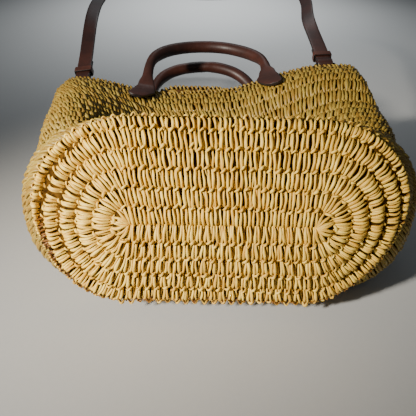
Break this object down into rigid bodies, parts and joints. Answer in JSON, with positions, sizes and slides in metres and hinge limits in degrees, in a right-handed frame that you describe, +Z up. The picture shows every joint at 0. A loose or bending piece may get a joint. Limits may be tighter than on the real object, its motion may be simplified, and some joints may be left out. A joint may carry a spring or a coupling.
{
  "type": "straw basket bag",
  "caption": "Crocheted straw basket bag lying on its back wall, with an oval base, a pinched open mouth, rolled leather handles and a leather shoulder strap.",
  "frame": {"origin": "under the middle of the whole object's box, on the surface that it lies on", "axes": "+Z up from the surface, -Y the way the oval base faces, +Y the way the mouth opens and the strap runs"},
  "size_m": [0.3382, 0.6476, 0.1619],
  "materials": {
    "straw": "matte",
    "leather": "satin",
    "trim_leather": "satin",
    "ring_metal": "satin"
  },
  "bodies": {
    "root": {"basket_body": "straw", "rim_edging": "straw", "handle_front": "leather", "handle_back": "leather", "strap_anchor_left": "leather", "strap_anchor_right": "leather", "ring_left": "ring_metal", "ring_right": "ring_metal", "shoulder_strap": "leather", "strap_keeper_left": "trim_leather", "strap_keeper_right": "trim_leather"}
  },
  "joints": []
}
